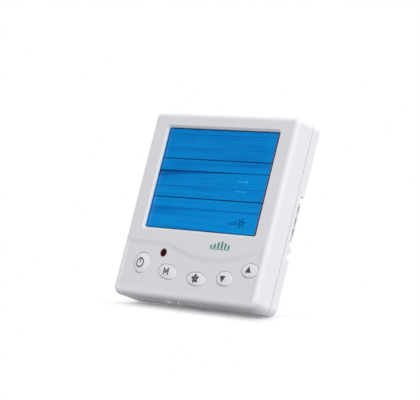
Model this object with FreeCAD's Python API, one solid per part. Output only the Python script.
import FreeCAD, Part
import math
import os

# A square wall thermostat for a fan coil, in millimetres.
# Origin: middle of the plane that rests on the wall. +X right, +Y into the wall, +Z up.
# The front is at negative Y. The rear box goes through the wall plane into a wall box.

# Case
FACE = 86.0
TOP_CORNER = 2.4
LOW_CORNER = 3.8
FRONT_FILLET = 2.2
WALL = 2.0
FRONT_Y = -15.4
SPLIT_Y = -5.0
SPLIT_GAP = 0.25
REAR_FILLET = 0.6
HALF = FACE / 2
INSIDE = HALF - WALL
INSIDE_TOP_CORNER = 0.5
INSIDE_LOW_CORNER = LOW_CORNER - WALL
CEILING_Y = FRONT_Y + WALL

# Lower field of the face, set back below a shallow curve
FIELD_DROP = 0.45
FIELD_RISE = 2.0
FIELD_Y = FRONT_Y + FIELD_DROP
FIELD_LEFT_Z = -19.0
FIELD_BEND = (-14.0, -19.5)
FIELD_LOW = (14.5, -24.6)
FIELD_END = (44.0, -15.4)
FIELD_BORDER = 2.4
FIELD_TOP_CORNER = 1.0
FIELD_LOW_CORNER = 1.5

# Screen
SCREEN_HALF = 33.5
SCREEN_LOW = -11.2
SCREEN_HIGH = 36.2
SCREEN_CORNER = 0.9
SCREEN_RECESS = 1.0
SCREEN_BEVEL = 0.9
SCREEN_FIT = 0.15
FLANGE_OVERLAP = 2.6
FLANGE_THICK = 0.8
GLASS_OVERLAP = 1.0
GLASS_THICK = 1.4
FRAME_WALL = 0.9
LAYER_GAP = 0.1
WINDOW_BACK_Y = CEILING_Y + FLANGE_THICK
GLASS_Y = WINDOW_BACK_Y + LAYER_GAP
GLASS_BACK_Y = GLASS_Y + GLASS_THICK
GUIDE_LEFT = -33.3
GUIDE_BACK_Y = -8.6

# Display board
BOARD_THICK = 1.6
DISPLAY_Y = -7.9
DISPLAY_BACK_Y = DISPLAY_Y + BOARD_THICK
DISPLAY_HALF_X = 39.8
DISPLAY_HALF_Z = 38.5
BOARD_POSTS = ((-38.2, 30.0), (38.2, 30.0), (-38.2, -36.5), (38.2, -36.5))

# Keys: name, centre x, centre z, half width, half height, tilt in degrees
KEYS = (
    ("power", -29.2, -27.8, 4.7, 4.7, 0.0),
    ("mode", -12.3, -30.7, 6.0, 3.2, -10.0),
    ("fan", 5.8, -32.6, 6.0, 2.95, -4.0),
    ("down", 22.2, -31.1, 4.8, 3.2, -4.0),
    ("up", 35.4, -26.4, 4.75, 3.1, 2.0),
)
KEY_GAP = 0.22
KEY_PROUD = 0.55
KEY_DOME_R = 24.0
KEY_EDGE = 0.3
KEY_LIP = 0.7
KEY_LIP_THICK = 0.7
KEY_LIP_GAP = 0.1
SWITCH_SIDE = 6.0
SWITCH_Y = DISPLAY_Y - 3.6
PLUNGER_R = 1.7
PLUNGER_FIT = 0.08
PLUNGER_TOP_Y = CEILING_Y + KEY_LIP_GAP + KEY_LIP_THICK
PLUNGER_END_Y = SWITCH_Y + 0.8
SWITCH_BORE_Y = SWITCH_Y + 1.6

# Signal lamp
LAMP = (-17.5, -22.3)
LAMP_R = 1.8
LAMP_FLANGE_R = 2.7
LED_R = 1.45

# Details of the cover: breathing slots, pry lugs (x, half width), hooks and board posts
VENT_COUNT = 7
VENT_FIRST_X = 4.0
VENT_STEP = 3.4
VENT_WIDTH = 1.8
VENT_FRONT_Y = -9.6
VENT_BACK_Y = -6.4
PRY_LUGS = ((-12.5, 1.7), (-6.7, 1.2))
PRY_DEPTH = 0.9
PRY_Y = -9.0
PRY_THICK = 1.6
HOOK_X = 16.0
HOOK_HALF = 4.0
HOOK_INNER = 39.2
HOOK_OUTER = 40.5
HOOK_ROOT_Y = -9.0
HOOK_TIP_Y = -2.5
COVER_POST_R = 1.9
COVER_BORE_R = 0.8

# Rear base and rear box
BASE_FLOOR = 2.0
BOX_HALF_X = 25.0
BOX_HALF_Z = 31.0
BOX_DEPTH = 18.0
BOX_WALL = 1.8
BOX_CORNER = 2.5
BOX_BACK_Y = BOX_DEPTH - BOX_WALL
SCREW_SPACING = 60.0
SCREW_SLOT_R = 2.1
SCREW_SLOT_LENGTH = 8.0
NOTCH_Z = (-17.2, 11.0)
NOTCH_Y = -2.7
NOTCH_X = 34.5
PEG_R = 1.6
PEG_Z = -13.1

# Power board
POWER_Y = 1.0
POWER_BACK_Y = POWER_Y + BOARD_THICK
POWER_HALF_X = 22.8
POWER_HALF_Z = 28.8
POWER_POSTS = ((-20.4, 25.6), (20.4, 25.6), (-20.8, -25.0), (20.8, -25.0))
POST_R = 2.0

# Mains terminals
POLES = 7
PITCH = 5.08
MAINS_LOW = -28.5
MAINS_HIGH = -16.5
MAINS_BACK_Y = 17.6
WIRE_Y = 8.2

# Sensor terminals in the side notch
SENSOR_FIRST_Z = 5.4
SENSOR_SCREW_X = 38.0

# Plug between the two halves
PINS = 8
PIN_PITCH = 2.54
PIN_HALF = 0.32
PLUG_Z = -6.0

X_AXIS = FreeCAD.Vector(1, 0, 0)
Y_AXIS = FreeCAD.Vector(0, 1, 0)
Z_AXIS = FreeCAD.Vector(0, 0, 1)
EPS = 0.001


def vec(x, y, z):
    return FreeCAD.Vector(x, y, z)


def block(x0, x1, y0, y1, z0, z1):
    """A box between two corners."""
    return Part.makeBox(x1 - x0, y1 - y0, z1 - z0, vec(x0, y0, z0))


def rod(x, z, r, y0, y1):
    """A round bar along Y."""
    return Part.makeCylinder(r, y1 - y0, vec(x, y0, z), Y_AXIS)


def upright_edges(shape):
    """The edges that run along Y."""
    return [e for e in shape.Edges if abs(e.BoundBox.XLength) < EPS and abs(e.BoundBox.ZLength) < EPS]


def plate(x0, x1, y0, y1, z0, z1, corner):
    """A box with its four edges along Y rounded."""
    shape = block(x0, x1, y0, y1, z0, z1)
    return shape.makeFillet(corner, upright_edges(shape))


def square_plate(half, y0, y1, top_corner, low_corner):
    """A square plate round the origin, with one radius at its upper and one at its lower corners."""
    shape = block(-half, half, y0, y1, -half, half)
    edges = upright_edges(shape)
    shape = shape.makeFillet(low_corner, [e for e in edges if e.BoundBox.ZMin < 0])
    upper = [e for e in upright_edges(shape) if e.BoundBox.ZMin > half - EPS]
    return shape.makeFillet(top_corner, upper)


def edges_at(shape, y):
    """The edges that lie in the plane at this Y."""
    return [e for e in shape.Edges if abs(e.BoundBox.YMin - y) < EPS and abs(e.BoundBox.YMax - y) < EPS]


def oval(x, z, half_x, half_z, tilt, y0, y1):
    """An elliptical bar along Y, turned by tilt degrees about its own axis."""
    long_half = max(half_x, half_z)
    short_half = min(half_x, half_z)
    centre = vec(x, y0, z)
    if abs(long_half - short_half) < EPS:
        edge = Part.makeCircle(long_half, centre, Y_AXIS)
    else:
        angle = math.radians(tilt)
        long_end = centre + vec(math.cos(angle), 0, math.sin(angle)) * long_half
        short_end = centre + vec(-math.sin(angle), 0, math.cos(angle)) * short_half
        edge = Part.Ellipse(long_end, short_end, centre).toShape()
    face = Part.Face(Part.Wire(edge))
    return face.extrude(vec(0, y1 - y0, 0))


def joined(shapes):
    """Several touching shapes as one solid."""
    first = shapes[0]
    return first.multiFuse(shapes[1:]).removeSplitter()


def without(shape, tools):
    """The shape with every tool cut away."""
    return shape.cut(Part.makeCompound(tools)) if tools else shape


def save(name, shape):
    """Writes one node, and says what is in it."""
    solids = shape.Solids
    body = solids[0] if len(solids) == 1 else Part.makeCompound(solids)
    assert body.isValid(), name
    body.exportStep("parts/" + name + ".step")
    print(f"{name:24s} solids {len(solids):2d} volume {body.Volume:9.1f}")


# Front cover


def field_tool():
    """What is taken off the lower face: its upper wall slopes along a line and an arc, and a border stays."""
    left = -HALF - 5
    low = -HALF - 5
    right = HALF + 5
    y = FIELD_Y
    bend = vec(FIELD_BEND[0], y, FIELD_BEND[1])
    lowest = vec(FIELD_LOW[0], y, FIELD_LOW[1])
    end = vec(FIELD_END[0], y, FIELD_END[1])
    outer = vec(right, y, FIELD_END[1])
    corner_right = vec(right, y, low)
    corner_left = vec(left, y, low)
    start = vec(left, y, FIELD_LEFT_Z)
    edges = [
        Part.LineSegment(start, bend).toShape(),
        Part.Arc(bend, lowest, end).toShape(),
        Part.LineSegment(end, outer).toShape(),
        Part.LineSegment(outer, corner_right).toShape(),
        Part.LineSegment(corner_right, corner_left).toShape(),
        Part.LineSegment(corner_left, start).toShape(),
    ]
    slope = vec(0, -FIELD_DROP * 2, FIELD_RISE * 2)
    cut = Part.Face(Part.Wire(edges)).extrude(slope)
    inside = square_plate(HALF - FIELD_BORDER, FRONT_Y - 1, FIELD_Y, FIELD_TOP_CORNER, FIELD_LOW_CORNER)
    return cut.common(inside)


def key_holes():
    """One oval hole for each key."""
    return [
        oval(x, z, hx + KEY_GAP, hz + KEY_GAP, tilt, FRONT_Y - 1, CEILING_Y + 1)
        for _, x, z, hx, hz, tilt in KEYS
    ]


def vent_slots():
    """Breathing slots in the underside, near the temperature sensor."""
    slots = []
    for i in range(VENT_COUNT):
        x = VENT_FIRST_X + i * VENT_STEP
        slots.append(block(x, x + VENT_WIDTH, VENT_FRONT_Y, VENT_BACK_Y, -HALF - 1, -INSIDE + 1))
    return slots


def pry_lugs():
    """Two small wedges under the lower wall, where a blade starts the cover off its base."""
    lugs = []
    for x, half_width in PRY_LUGS:
        left = vec(x - half_width, PRY_Y, -HALF)
        right = vec(x + half_width, PRY_Y, -HALF)
        tip = vec(x, PRY_Y, -HALF - PRY_DEPTH)
        lugs.append(Part.Face(Part.makePolygon([left, right, tip, left])).extrude(vec(0, PRY_THICK, 0)))
    return lugs


def cover_hooks():
    """Four thin tongues inside the upper and lower walls, which reach into the base."""
    root_end_y = SPLIT_Y - 0.4
    tongue_start_y = SPLIT_Y - 0.5
    hooks = []
    for x in (-HOOK_X, HOOK_X):
        x0, x1 = x - HOOK_HALF, x + HOOK_HALF
        for side in (-1, 1):
            z0, z1 = sorted((side * HOOK_INNER, side * INSIDE))
            hooks.append(block(x0, x1, HOOK_ROOT_Y, root_end_y, z0, z1))
            z0, z1 = sorted((side * HOOK_INNER, side * HOOK_OUTER))
            hooks.append(block(x0, x1, tongue_start_y, HOOK_TIP_Y, z0, z1))
    return hooks


def screen_lip(shell):
    """The front edges of the screen opening."""
    lip = []
    for edge in edges_at(shell, FRONT_Y):
        box = edge.BoundBox
        inside_x = max(abs(box.XMin), abs(box.XMax)) < SCREEN_HALF + EPS
        inside_z = box.ZMin > SCREEN_LOW - EPS and box.ZMax < SCREEN_HIGH + EPS
        if inside_x and inside_z:
            lip.append(edge)
    return lip


def front_cover():
    """The white front shell: window, key field, key holes, posts and hooks."""
    shell = square_plate(HALF, FRONT_Y, SPLIT_Y, TOP_CORNER, LOW_CORNER)
    shell = shell.makeFillet(FRONT_FILLET, edges_at(shell, FRONT_Y))
    shell = shell.cut(
        square_plate(INSIDE, CEILING_Y, SPLIT_Y + 1, INSIDE_TOP_CORNER, INSIDE_LOW_CORNER)
    )
    shell = shell.cut(field_tool())
    window = plate(
        -SCREEN_HALF, SCREEN_HALF, FRONT_Y - 1, CEILING_Y + 1, SCREEN_LOW, SCREEN_HIGH, SCREEN_CORNER
    )
    shell = shell.cut(window)
    shell = shell.makeChamfer(SCREEN_BEVEL, screen_lip(shell))
    lamp_hole = rod(LAMP[0], LAMP[1], LAMP_R + SCREEN_FIT, FRONT_Y - 1, CEILING_Y + 1)
    shell = without(shell, [lamp_hole] + key_holes() + vent_slots())
    posts = [rod(x, z, COVER_POST_R, CEILING_Y - 0.5, DISPLAY_Y) for x, z in BOARD_POSTS]
    shell = joined([shell] + posts + cover_hooks() + pry_lugs())
    bores = [rod(x, z, COVER_BORE_R, CEILING_Y + 0.6, DISPLAY_Y + 1) for x, z in BOARD_POSTS]
    return without(shell, bores)


# Screen stack


def display_window():
    """Clear window: a plate that fills the opening, with a flange behind the wall."""
    raised = plate(
        -SCREEN_HALF + SCREEN_FIT,
        SCREEN_HALF - SCREEN_FIT,
        FRONT_Y + SCREEN_RECESS,
        CEILING_Y + 0.1,
        SCREEN_LOW + SCREEN_FIT,
        SCREEN_HIGH - SCREEN_FIT,
        SCREEN_CORNER - SCREEN_FIT,
    )
    flange = plate(
        -SCREEN_HALF - FLANGE_OVERLAP,
        SCREEN_HALF + FLANGE_OVERLAP,
        CEILING_Y,
        WINDOW_BACK_Y,
        SCREEN_LOW - FLANGE_OVERLAP,
        SCREEN_HIGH + FLANGE_OVERLAP,
        SCREEN_CORNER,
    )
    return joined([raised, flange])


def lcd_glass():
    """The liquid crystal cell, a plain glass sandwich."""
    return block(
        -SCREEN_HALF - GLASS_OVERLAP,
        SCREEN_HALF + GLASS_OVERLAP,
        GLASS_Y,
        GLASS_BACK_Y,
        SCREEN_LOW - GLASS_OVERLAP,
        SCREEN_HIGH + GLASS_OVERLAP,
    )


def lcd_frame():
    """The plastic ring that holds glass, connector strip and light guide on the board."""
    inner = GLASS_OVERLAP + LAYER_GAP
    outer = inner + FRAME_WALL
    ring = plate(
        -SCREEN_HALF - outer,
        SCREEN_HALF + outer,
        WINDOW_BACK_Y,
        DISPLAY_Y,
        SCREEN_LOW - outer,
        SCREEN_HIGH + outer,
        1.0,
    )
    hollow = block(
        -SCREEN_HALF - inner,
        SCREEN_HALF + inner,
        WINDOW_BACK_Y - 1,
        DISPLAY_Y + 1,
        SCREEN_LOW - inner,
        SCREEN_HIGH + inner,
    )
    return ring.cut(hollow)


def light_guide():
    """The clear slab behind the glass, lit from its left edge."""
    inset = 0.8
    left = GUIDE_LEFT + LAYER_GAP
    right = SCREEN_HALF + inset - LAYER_GAP
    return block(left, right, GLASS_BACK_Y + LAYER_GAP, GUIDE_BACK_Y, SCREEN_LOW + inset, SCREEN_HIGH + inset)


def backlight_leds():
    """Four lamps along the light guide's left edge."""
    thick, half_long = 1.2, 1.6
    front_y, back_y = GUIDE_BACK_Y - 2.0, GUIDE_BACK_Y - 0.4
    first_z, step, count = -4.0, 11.0, 4
    lamps = []
    for i in range(count):
        z = first_z + i * step
        lamps.append(block(GUIDE_LEFT - thick, GUIDE_LEFT, front_y, back_y, z - half_long, z + half_long))
    return Part.makeCompound(lamps)


def lcd_connector():
    """The striped rubber strip between the glass edge and the board."""
    return block(-30.0, 30.0, GLASS_BACK_Y, DISPLAY_Y, SCREEN_LOW - 0.9, SCREEN_LOW + 0.6)


# Display board


def display_board():
    """The board behind the face, with screw holes and pin holes."""
    board = plate(
        -DISPLAY_HALF_X,
        DISPLAY_HALF_X,
        DISPLAY_Y,
        DISPLAY_BACK_Y,
        -DISPLAY_HALF_Z,
        DISPLAY_HALF_Z,
        2.0,
    )
    holes = [rod(x, z, 0.95, DISPLAY_Y - 1, DISPLAY_BACK_Y + 1) for x, z in BOARD_POSTS]
    return without(board, holes + [pin(x, DISPLAY_Y - 1, DISPLAY_BACK_Y + 1, 0.06) for x in pin_places()])


def board_screws(places, head_y, tip_y, head_r, shank_r):
    """Pan head screws driven towards the front or the back, with a cross in each head."""
    inward = 1 if tip_y > head_y else -1
    head_thick = 1.0
    screws = []
    for x, z in places:
        top = head_y - inward * head_thick
        head = rod(x, z, head_r, min(head_y, top), max(head_y, top))
        shank = rod(x, z, shank_r, min(head_y, tip_y), max(head_y, tip_y))
        arm = head_r * 0.65
        y0, y1 = sorted((top - inward * 0.1, top + inward * 0.5))
        cross = [
            block(x - arm, x + arm, y0, y1, z - 0.18, z + 0.18),
            block(x - 0.18, x + 0.18, y0, y1, z - arm, z + arm),
        ]
        screws.append(without(joined([head, shank]), cross))
    return Part.makeCompound(screws)


def pin_places():
    first = -(PINS - 1) * PIN_PITCH / 2
    return [first + i * PIN_PITCH for i in range(PINS)]


def pin(x, y0, y1, extra):
    side = PIN_HALF + extra
    return block(x - side, x + side, y0, y1, PLUG_Z - side, PLUG_Z + side)


def header_pins():
    """The row of square pins that plugs the front into the base."""
    return Part.makeCompound([pin(x, DISPLAY_Y - 0.6, -0.6, 0.0) for x in pin_places()])


def header_strip():
    """The insulating strip that holds the pins on the board."""
    strip = block(-10.3, 10.3, DISPLAY_BACK_Y, -4.3, PLUG_Z - 1.25, PLUG_Z + 1.25)
    return without(strip, [pin(x, DISPLAY_BACK_Y - 1, -3.0, 0.0) for x in pin_places()])


def plug_socket():
    """The socket on the power board that takes the pins."""
    body = block(-10.6, 10.6, -4.0, POWER_Y, PLUG_Z - 1.4, PLUG_Z + 1.4)
    return without(body, [pin(x, -5.0, 0.4, 0.2) for x in pin_places()])


def key_switches():
    """Five tact switches, each with a bore for its plunger."""
    half = SWITCH_SIDE / 2
    bodies = []
    for _, x, z, _, _, _ in KEYS:
        body = plate(x - half, x + half, SWITCH_Y, DISPLAY_Y, z - half, z + half, 0.5)
        bore = rod(x, z, PLUNGER_R + PLUNGER_FIT, SWITCH_Y - 1, SWITCH_BORE_Y)
        bodies.append(body.cut(bore))
    return Part.makeCompound(bodies)


def controller_chip():
    """The flat processor on the back of the display board, with its legs."""
    x, z, half = -19.0, -20.0, 5.0
    body = block(x - half, x + half, DISPLAY_BACK_Y + 0.1, DISPLAY_BACK_Y + 1.4, z - half, z + half)
    legs = []
    for i in range(11):
        place = (i - 5) * 0.8
        legs.append(block(x + place - 0.15, x + place + 0.15, DISPLAY_BACK_Y, -5.7, z - 6, z + 6))
        legs.append(block(x - 6, x + 6, DISPLAY_BACK_Y, -5.7, z + place - 0.15, z + place + 0.15))
    return joined([body] + legs)


def buzzer():
    """The beeper on the back of the display board."""
    x, z, r = 19.0, -24.0, 4.5
    back_y = DISPLAY_BACK_Y + 2.6
    sound_hole_r = 0.8
    can = rod(x, z, r, DISPLAY_BACK_Y, back_y)
    can = can.makeFillet(0.4, edges_at(can, back_y))
    return can.cut(rod(x, z, sound_hole_r, back_y - 1, back_y + 1))


def temperature_sensor():
    """A thermistor bead on two legs, over the breathing slots."""
    x, z, bead_r = 7.0, -39.4, 1.1
    leg_r = 0.22
    leg_length = 3.4
    leg_top = z + leg_length - 0.1
    bead_y = DISPLAY_Y - 1.0
    pieces = [Part.makeSphere(bead_r, vec(x, bead_y, z))]
    for leg_x in (x - 0.6, x + 0.6):
        pieces.append(Part.makeCylinder(leg_r, leg_length, vec(leg_x, bead_y, z), Z_AXIS))
        pieces.append(rod(leg_x, leg_top, leg_r, bead_y - 0.2, DISPLAY_Y))
    return joined(pieces)


def signal_lens():
    """The dark red window that covers the signal lamp and the remote eye."""
    x, z = LAMP
    stem = rod(x, z, LAMP_R, FIELD_Y - 0.1, CEILING_Y + 0.1)
    stem = stem.makeFillet(0.35, edges_at(stem, FIELD_Y - 0.1))
    return joined([stem, rod(x, z, LAMP_FLANGE_R, CEILING_Y, CEILING_Y + 0.7)])


def signal_led():
    """The lamp behind the red window."""
    x, z = LAMP
    tip = CEILING_Y + 1.0
    body = rod(x, z, LED_R, tip + LED_R, DISPLAY_Y)
    return joined([body, Part.makeSphere(LED_R, vec(x, tip + LED_R, z))])


# Keys


def key_cap(x, z, half_x, half_z, tilt):
    """A domed oval cap with a lip behind the wall, and a foot that meets the plunger."""
    top_y = FIELD_Y - KEY_PROUD
    lip_y = CEILING_Y + KEY_LIP_GAP
    cap = oval(x, z, half_x, half_z, tilt, top_y - 1, lip_y + 0.2)
    dome = Part.makeSphere(KEY_DOME_R, vec(x, top_y + KEY_DOME_R, z))
    cap = cap.common(dome)
    crown = [e for e in cap.Edges if e.BoundBox.YMax < FIELD_Y + 0.4]
    cap = cap.makeFillet(KEY_EDGE, crown)
    lip = oval(x, z, half_x + KEY_LIP, half_z + KEY_LIP, tilt, lip_y, lip_y + KEY_LIP_THICK)
    return joined([cap, lip])


def plunger(x, z):
    """The moving stem of a tact switch."""
    stem = rod(x, z, PLUNGER_R, PLUNGER_TOP_Y, PLUNGER_END_Y)
    return stem.makeFillet(0.2, edges_at(stem, PLUNGER_TOP_Y))


# Rear base


def slot(x, z):
    """An oblong screw hole through the base floor."""
    reach = SCREW_SLOT_LENGTH / 2 - SCREW_SLOT_R
    left = rod(x - reach, z, SCREW_SLOT_R, -BASE_FLOOR - 1, 1)
    right = rod(x + reach, z, SCREW_SLOT_R, -BASE_FLOOR - 1, 1)
    middle = block(x - reach, x + reach, -BASE_FLOOR - 1, 1, z - SCREW_SLOT_R, z + SCREW_SLOT_R)
    return joined([left, middle, right])


def base_lips():
    """Eight short upstands inside the cover's side walls, which centre it."""
    lips = []
    for side in (-1, 1):
        for z0, z1 in ((14.0, 24.0), (-30.0, -20.0)):
            x0, x1 = sorted((side * 39.6, side * INSIDE))
            lips.append(block(x0, x1, SPLIT_Y + SPLIT_GAP, -BASE_FLOOR + 0.5, z0, z1))
            x0, x1 = sorted((side * 39.6, side * 40.6))
            lips.append(block(x0, x1, SPLIT_Y - 1.0, SPLIT_Y + SPLIT_GAP + 0.5, z0, z1))
    return lips


def rear_base():
    """The white rear half: rim, floor, rear box, board posts, screw slots and side notch."""
    rim = square_plate(HALF, SPLIT_Y + SPLIT_GAP, 0, TOP_CORNER, LOW_CORNER)
    rim = rim.makeFillet(REAR_FILLET, edges_at(rim, 0))
    rim = rim.cut(square_plate(INSIDE, SPLIT_Y - 1, -BASE_FLOOR, INSIDE_TOP_CORNER, INSIDE_LOW_CORNER))
    box = plate(-BOX_HALF_X, BOX_HALF_X, -0.5, BOX_DEPTH, -BOX_HALF_Z, BOX_HALF_Z, BOX_CORNER)
    box = box.makeFillet(1.0, edges_at(box, BOX_DEPTH))
    shape = joined([rim, box] + base_lips())
    inner_x = BOX_HALF_X - BOX_WALL
    inner_z = BOX_HALF_Z - BOX_WALL
    hollow = plate(-inner_x, inner_x, -BASE_FLOOR - 1, BOX_BACK_Y, -inner_z, inner_z, 1.0)
    mains_window = block(-18.8, 18.8, BOX_BACK_Y - 1, BOX_DEPTH + 1, -29.0, -16.0)
    wire_window = block(-17.9, 17.9, WIRE_Y - 2.6, WIRE_Y + 2.6, -BOX_HALF_Z - 1, -inner_z + 1)
    notch = block(NOTCH_X, HALF + 1, NOTCH_Y, 1, NOTCH_Z[0], NOTCH_Z[1])
    slots = [slot(side * SCREW_SPACING / 2, 0) for side in (-1, 1)]
    shape = without(shape, [hollow, mains_window, wire_window, notch] + slots)
    posts = [rod(x, z, POST_R, POWER_BACK_Y, BOX_BACK_Y + 0.5) for x, z in POWER_POSTS]
    peg = Part.makeCylinder(PEG_R, HALF - 0.4 - NOTCH_X + 0.5, vec(NOTCH_X - 0.5, -PEG_R, PEG_Z), X_AXIS)
    shape = joined([shape, peg] + posts)
    bores = [rod(x, z, 0.95, POWER_BACK_Y - 1, POWER_BACK_Y + 8) for x, z in POWER_POSTS]
    return without(shape, bores)


def insulation_plate():
    """The thin plate over the live parts, with a slit for the plug."""
    base = plate(-26.5, 26.5, -BASE_FLOOR - 0.9, -BASE_FLOOR, -32.5, 32.5, 2.0)
    slit = block(-11.2, 11.2, -4, 0, PLUG_Z - 2.0, PLUG_Z + 2.0)
    return without(base, [slit])


def power_board():
    """The board in the rear box."""
    board = plate(-POWER_HALF_X, POWER_HALF_X, POWER_Y, POWER_BACK_Y, -POWER_HALF_Z, POWER_HALF_Z, 1.0)
    return without(board, [rod(x, z, 1.0, POWER_Y - 1, POWER_BACK_Y + 1) for x, z in POWER_POSTS])


def relays():
    """Three relays for the fan speeds and one for the valve."""
    first_x = -21.8
    step = 8.3
    cases = []
    for i in range(4):
        x = first_x + i * step
        case = plate(x, x + 7.2, POWER_BACK_Y, 15.1, -13.5, 7.0, 0.5)
        cases.append(case.makeFillet(0.4, edges_at(case, 15.1)))
    return Part.makeCompound(cases)


def transformer_core():
    """Ferrite core: two outer legs and a yoke round the winding."""
    core = block(11.6, 22.0, POWER_BACK_Y + 1.0, POWER_BACK_Y + 11.5, -9.0, 1.0)
    window = block(12.9, 20.7, POWER_BACK_Y + 2.6, POWER_BACK_Y + 9.9, -10.0, 2.0)
    return core.cut(window)


def transformer_winding():
    """Taped winding on its bobbin, through the core's window."""
    return plate(13.0, 20.6, POWER_BACK_Y + 2.7, POWER_BACK_Y + 9.8, -11.5, 3.5, 0.8)


def transformer_base():
    """The bobbin's foot, which stands on the board."""
    return block(12.0, 21.6, POWER_BACK_Y, POWER_BACK_Y + 1.0, -12.0, 4.0)


def smoothing_capacitor():
    """An aluminium can with a scored top."""
    x, z, r, top = -10.5, 17.5, 4.0, POWER_BACK_Y + 11.5
    can = rod(x, z, r, POWER_BACK_Y, top)
    can = can.makeFillet(0.5, edges_at(can, top))
    ring = rod(x, z, r + 1, POWER_BACK_Y + 1.6, POWER_BACK_Y + 2.2)
    groove = ring.cut(rod(x, z, r - 0.35, POWER_BACK_Y, POWER_BACK_Y + 3))
    return without(can, [groove])


def noise_capacitor():
    """The box capacitor across the mains."""
    case = plate(-3.5, 9.5, POWER_BACK_Y, POWER_BACK_Y + 10.5, 11.0, 17.0, 0.6)
    return case.makeFillet(0.5, edges_at(case, POWER_BACK_Y + 10.5))


def fuse():
    """A radial fuse."""
    top = POWER_BACK_Y + 8.0
    case = rod(16.0, 14.0, 4.1, POWER_BACK_Y, top)
    return case.makeFillet(0.5, edges_at(case, top))


def varistor():
    """The disc that clips surges, standing on edge with its two legs."""
    disc = Part.makeCylinder(4.2, 3.4, vec(2.0, POWER_BACK_Y + 5.4, 21.5), Z_AXIS)
    disc = disc.makeFillet(0.8, disc.Edges)
    legs = [rod(x, 23.2, 0.35, POWER_BACK_Y, POWER_BACK_Y + 4) for x in (-0.6, 4.6)]
    return joined([disc] + legs)


def pole_places():
    first = -(POLES - 1) * PITCH / 2
    return [first + i * PITCH for i in range(POLES)]


def mains_terminal():
    """The seven-way block: wires come in from below, screws face the back."""
    half = POLES * PITCH / 2 + 0.4
    body = block(-half, half, POWER_BACK_Y, MAINS_BACK_Y, MAINS_LOW, MAINS_HIGH)
    body = body.cut(block(-half - 1, half + 1, 12.6, MAINS_BACK_Y + 1, MAINS_LOW - 1, -26.6))
    cuts = []
    for x in pole_places():
        cuts.append(block(x - 2.0, x + 2.0, WIRE_Y - 2.4, WIRE_Y + 2.4, MAINS_LOW - 1, -18.4))
        cuts.append(rod(x, -22.4, 2.0, WIRE_Y, MAINS_BACK_Y + 1))
    return without(body, cuts)


def terminal_clamps():
    """A metal cage in each pole, open towards the wire."""
    cages = []
    for x in pole_places():
        cage = block(x - 1.9, x + 1.9, WIRE_Y - 2.3, WIRE_Y + 2.3, -26.5, -18.6)
        bore = Part.makeCylinder(1.5, 9.0, vec(x, WIRE_Y, -27.0), Z_AXIS)
        cages.append(cage.cut(bore))
    return Part.makeCompound(cages)


def terminal_screws():
    """A slotted screw in each pole."""
    screws = []
    top = WIRE_Y + 5.2
    for x in pole_places():
        screw = rod(x, -22.4, 1.85, WIRE_Y + 2.35, top)
        screws.append(screw.cut(block(x - 2.5, x + 2.5, top - 0.8, top + 1, -22.7, -22.1)))
    return Part.makeCompound(screws)


def sensor_terminal():
    """The small three-way block seen in the side notch, for an outside sensor."""
    x0, x1, nose_x, y0, y1, z0, z1 = 35.4, 40.7, 42.0, -5.7, -0.3, -9.4, 8.2
    body = block(x0, x1, y0, y1, z0 + 1.6, z1)
    nose = block(x1 - 0.5, nose_x, NOTCH_Y + 0.1, y1, z0 + 1.6, z1)
    foot = block(x0, nose_x + 0.5, NOTCH_Y + 0.1, y1 - 0.8, z0, z0 + 1.7)
    cuts = []
    for i in range(3):
        z = SENSOR_FIRST_Z - i * PITCH
        cuts.append(block(nose_x - 2.8, nose_x + 1, -2.2, -0.8, z - 1.5, z + 1.5))
        cuts.append(rod(SENSOR_SCREW_X, z, 1.5, y0 - 1, y0 + 3))
        cuts.append(block(nose_x - 0.5, nose_x + 1, y0, y1 + 1, z - 2.75, z - 2.33))
    return without(joined([body, nose, foot]), cuts)


def sensor_terminal_screws():
    """The three slotted screws of the sensor block."""
    screws = []
    top = -5.2
    x = SENSOR_SCREW_X
    for i in range(3):
        z = SENSOR_FIRST_Z - i * PITCH
        screw = rod(x, z, 1.4, top, top + 2.4)
        screws.append(screw.cut(block(x - 2, x + 2, top - 1, top + 0.7, z - 0.25, z + 0.25)))
    return Part.makeCompound(screws)


def main():
    os.makedirs("parts", exist_ok=True)
    save("front_cover", front_cover())
    save("display_window", display_window())
    save("lcd_glass", lcd_glass())
    save("lcd_frame", lcd_frame())
    save("light_guide", light_guide())
    save("backlight_leds", backlight_leds())
    save("lcd_connector", lcd_connector())
    save("display_board", display_board())
    save("display_board_screws", board_screws(BOARD_POSTS, DISPLAY_BACK_Y, -12.2, 1.5, 0.75))
    save("header_strip", header_strip())
    save("header_pins", header_pins())
    save("key_switches", key_switches())
    save("controller_chip", controller_chip())
    save("buzzer", buzzer())
    save("temperature_sensor", temperature_sensor())
    save("signal_lens", signal_lens())
    save("signal_led", signal_led())
    for name, x, z, half_x, half_z, tilt in KEYS:
        save(name + "_key", key_cap(x, z, half_x, half_z, tilt))
        save(name + "_plunger", plunger(x, z))
    save("rear_base", rear_base())
    save("insulation_plate", insulation_plate())
    save("power_board", power_board())
    save("power_board_screws", board_screws(POWER_POSTS, POWER_Y, 9.5, 1.8, 0.9))
    save("plug_socket", plug_socket())
    save("relays", relays())
    save("transformer_core", transformer_core())
    save("transformer_winding", transformer_winding())
    save("transformer_base", transformer_base())
    save("smoothing_capacitor", smoothing_capacitor())
    save("noise_capacitor", noise_capacitor())
    save("fuse", fuse())
    save("varistor", varistor())
    save("mains_terminal", mains_terminal())
    save("terminal_clamps", terminal_clamps())
    save("terminal_screws", terminal_screws())
    save("sensor_terminal", sensor_terminal())
    save("sensor_terminal_screws", sensor_terminal_screws())


main()
